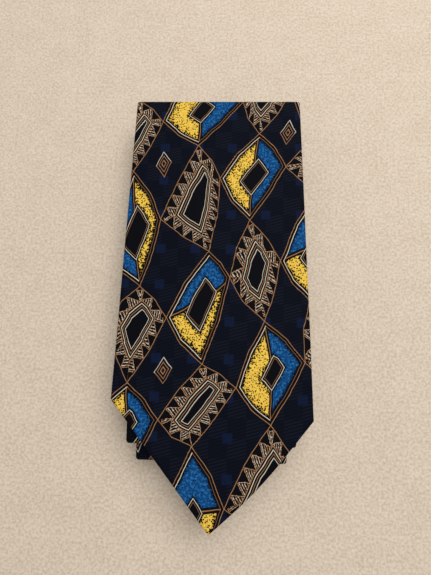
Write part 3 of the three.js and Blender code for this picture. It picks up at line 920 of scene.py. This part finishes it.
def close_sheet(cloth, panel, side, x, y, levels, flat_y):
    """Lays a sheet at two levels from its panel's middle, and joins their rims."""
    flat = np.dstack([x, flat_y(y)])
    for t in levels:
        cloth.grid(np.dstack([x, y, panel.height(side, np.broadcast_to(t, x.shape))]), flat)
    rows, columns = x.shape
    rim = [(0, c) for c in range(columns)] + [(r, columns - 1) for r in range(1, rows)]
    rim += [(rows - 1, c) for c in range(columns - 2, -1, -1)] + [(r, 0) for r in range(rows - 2, 0, -1)]
    heights = [np.broadcast_to(panel.height(side, t), x.shape) for t in levels]
    walls = [[(x[i], y[i], z[i]) for i in rim] for z in heights]
    cloth.grid(np.array(walls), np.array([[flat[i] for i in rim]] * 2), closed=True)
    return cloth


BLADE_WOOL_WIDTH = 0.1 * 0.9  # what is declared, in metres, though the wool is 96 mm across at its widest


def dress_insides(wool, lining):
    """The wool inside each panel, and the lining behind the window of each end."""
    for n, panel in enumerate(panels, 1):
        plan = panel.face_grid(6.0, 6.0, WOOL_INSET)
        sheet = close_sheet(Cloth(), panel, 1, plan[..., 0], plan[..., 1], (WOOL_LOW, WOOL_HIGH), panel.flat_y)
        sheet.slide(panel)
        piece = sheet.make(f"wool_{n}", wool, trellis=False)
        fasten(piece, panel, "front_interlining" if n == 1 else f"interlining_{n}")
        width = BLADE_WOOL_WIDTH if n == 1 else 2 * panel.near_half * MM
    for panel, node in ((panels[0], "blade_tipping"), (panels[7], "tail_tipping")):
        sheet = lining_sheet(panel)
        sheet.slide(panel)
        piece = sheet.make(node + "_satin", lining, trellis=False)
        fasten(piece, panel, node)


def lining_sheet(panel):
    """Lining cut as a kite, tucked under the hem and flaps all round."""
    tuck = 4.0
    bottom = panel.tip + (panel.hem - tuck) / panel.lean
    top = panel.window_top + tuck
    share = np.r_[np.linspace(0, 1, 26), np.linspace(1, 0.03, 26)[1:]]
    y = np.r_[np.linspace(bottom, panel.near, 26), np.linspace(panel.near, top, 26)[1:]]
    half = share * (panel.window_half + tuck)
    across = np.linspace(-1, 1, 31)
    x = half[:, None] * across[None, :]
    level = -0.42 + 0.06 * np.sin(y[:, None] * 0.5 + x * 0.22) * (1 - abs(across[None, :]))
    cloth = Cloth()
    y = np.broadcast_to(y[:, None], x.shape)
    cloth.grid(np.dstack([x, y, panel.height(1, level)]), np.dstack([x, panel.flat_y(y)]))
    return cloth


def stitch(cloth, panel, path, thick=0.17):
    """A stitch on a panel's back that dives in at both ends. path has x, y and how far it stands proud."""
    path = np.array([(x, y, panel.height(-1, SKIN + proud)) for x, y, proud in path], float)
    turns = np.linspace(0, 2 * math.pi, 6, endpoint=False)
    along = np.gradient(path, axis=0)
    along /= np.linalg.norm(along, axis=1)[:, None]
    side = np.cross(along, [0.2, 0.1, 1.0])
    side /= np.linalg.norm(side, axis=1)[:, None]
    up = np.cross(side, along)
    share = np.linspace(0, 1, len(path))
    radius = thick * np.clip(np.sin(share * math.pi) * 2.2, 0.12, 1)
    ring = side[:, None] * np.cos(turns)[:, None] + up[:, None] * np.sin(turns)[:, None]
    rows = path[:, None] + ring * radius[:, None, None]
    flat = np.dstack(np.meshgrid(turns * thick, share * 2.5))
    cloth.grid(rows, flat, closed=True)


def dress_seams(thread):
    """The slip stitches that hold the flaps together, and the bar tack at the top of each window."""
    hand = random.Random(11)
    slip_stitch = [(-2.5, 0, -0.75), (-1.9, 0.25, -0.42), (-1.3, 0.5, -0.02),
                   (-0.9, 0.72, 0.1), (-0.5, 0.9, 0.02), (-0.1, 1.1, -0.3)]
    for panel in panels:
        cloth = Cloth()
        y = panel.window_top + 8 if panel.pointed else panel.near + 5
        while y < panel.far - 5:
            lean = hand.uniform(1.2, 1.9)
            stitch(cloth, panel, [(px, y + py * lean, d) for px, py, d in slip_stitch])
            y += hand.uniform(5.6, 7.4)
        piece = cloth.make(f"slip_stitches_{panel.number}", thread, trellis=False)
        fasten(piece, panel, f"slip_stitch_{panel.number}")
    wrap = [(-0.85, -0.3), (-0.6, 0.12), (0, 0.34), (0.6, 0.12), (0.85, -0.3)]
    for panel, node in ((panels[0], "blade_bar_tack"), (panels[7], "tail_bar_tack")):
        half, first, last = extent(node)
        middle = (first + last) / 2
        cloth = Cloth()
        for row in (-0.45, 0.0, 0.45):
            stitch(cloth, panel, [(x, middle + row, 0.02 + 0.12 * math.cos(x / half * 1.5))
                                  for x in np.linspace(-half, half, 7)])
        for x in np.arange(-half + 0.5, half - 0.3, 0.42):
            stitch(cloth, panel, [(x + py * 0.16, middle + py, d) for py, d in wrap])
        fasten(cloth.make(node + "_thread", thread, trellis=False), panel, node)


def dress_keeper(silk, thread):
    """The keeper loop: a flat tube of the same silk, tacked down at both ends."""
    panel = panels[0]
    half, first, last = extent("keeper_loop")
    middle, depth = (first + last) / 2, last - first
    turns = np.linspace(0, 2 * math.pi, 28, endpoint=False)
    loop_y = np.copysign(abs(np.cos(turns)) ** 0.35, np.cos(turns)) * depth / 2
    loop_t = np.copysign(abs(np.sin(turns)) ** 0.6, np.sin(turns)) * 0.24
    across = np.linspace(-half, half, 46)
    bow = 0.28 + 0.28 * np.clip(np.cos(across / half * math.pi / 2), 0, 1) ** 0.5
    waist = 1 - 0.07 * np.cos(across / half * math.pi / 2) + 0.015 * np.sin(across * 0.5)
    x = np.repeat(across[:, None], 28, 1)
    y = middle + waist[:, None] * loop_y[None]
    pinch = np.clip((half - abs(across)) / 1.2, 0.25, 1)
    t = bow[:, None] + loop_t[None] * pinch[:, None]
    cloth = Cloth()
    cloth.grid(np.dstack([x, y, panel.height(-1, SKIN + t)]),
               np.dstack([x * 0.7 + y * 0.7 + 300, y * 0.7 - x * 0.7 + 90]), closed=True)
    piece = cloth.make("keeper_loop_silk", silk)
    fasten(piece, panel, "keeper_loop")
    2 * depth * MM
    tacks = Cloth()
    path = [(half - 2.6, 0.5), (half - 1.8, 0.72), (half - 0.8, 0.66), (half + 0.2, 0.3), (half + 0.7, -0.2)]
    for end in (-1, 1):
        for row in np.arange(-5.0, 5.1, 1.25):
            stitch(tacks, panel, [(end * x, middle + row + 0.1 * k, d - 0.1) for k, (x, d) in enumerate(path)])
    fasten(tacks.make("keeper_tacks", thread, trellis=False), panel)


def dress_labels(label, thread):
    """Blank woven labels with turned ends and small stitches along them."""
    for node, panel in (("maker_label", panels[0]), ("care_tag", panels[0]), ("size_tag", panels[7])):
        half, first, last = extent(node)
        x, y = np.meshgrid(np.linspace(-half, half, 33), np.linspace(first, last, 21))
        edge = np.minimum(np.minimum(half - abs(x), y - first), last - y)
        rise = 0.2 + 0.16 * smooth(edge / 0.9) + 0.05 * np.sin(x * 0.4 + y * 0.23) * smooth(edge / 3)
        cloth = close_sheet(Cloth(), panel, -1, x, y, (SKIN + rise, SKIN + 0.06), np.asarray)
        points = np.concatenate(cloth.points)
        on_label = np.c_[(points[:, 0] + half) / (2 * half), (points[:, 1] - first) / (last - first)]
        piece = cloth.make(node + "_woven", label, trellis=False, label=on_label)
        fasten(piece, panel, node)
        stitches = Cloth()
        if node == "maker_label":
            ends = [(half - 1.3, 0.2), (half - 0.8, 0.46), (half - 0.1, 0.42), (half + 0.5, -0.1)]
            paths = [[(end * px, row, d) for px, d in ends]
                     for end in (-1, 1) for row in np.arange(first + 1.5, last - 0.5, 1.9)]
        else:
            top = [(0.3, 0.2), (0.7, 0.46), (1.1, 0.46), (1.6, 0.2)]
            paths = [[(x, last - y, d) for y, d in top] for x in np.arange(-half + 1, half - 0.5, 1.5)]
        for path in paths:
            stitch(stitches, panel, path, 0.13)
        fasten(stitches.make(node + "_stitches", thread, trellis=False), panel)


TURNED_EDGES = 8  # how much wider the silk is cut, for its turned edges
POINTED_SHARE, SLANTED_SHARE = 0.82, 0.8  # of the box round a length that ends in a point or at a slanting seam


def declare_silk(pieces_of_panels):
    """Works out the flat size of each length of silk, in proportion to how much of its panel it covers, and keeps
    none of it.
    """
    for panel, pieces in zip(panels, pieces_of_panels):
        width = 2 * (panel.near_half + panel.far_half) + TURNED_EDGES
        cut = width * panel.length * MM * MM
        for piece in pieces:
            share = (piece.dimensions.y / MM) / panel.length
            fullness = POINTED_SHARE if panel.pointed else SLANTED_SHARE if share < 0.95 else 1.0
            width * MM
            cut * share * fullness


set_camera()
set_lights()

silk = printed_silk()
wool = wool_interlining()
lining = satin_lining()
# The lighter navy is the thread's painted highlight on the ply crests, and the darker navy its painted shade in
# the grooves.
thread = twisted_thread("navy_thread", dye(44, 50, 84), dye(14, 17, 38))
label = woven_label()

lay_floor()
bpy.context.scene.view_settings.view_transform = "Standard"

silk_pieces = dress_panels(silk)
dress_folds(silk, wool)
dress_insides(wool, lining)
dress_seams(thread)
dress_keeper(silk, thread)
dress_labels(label, thread)

declare_silk(silk_pieces)
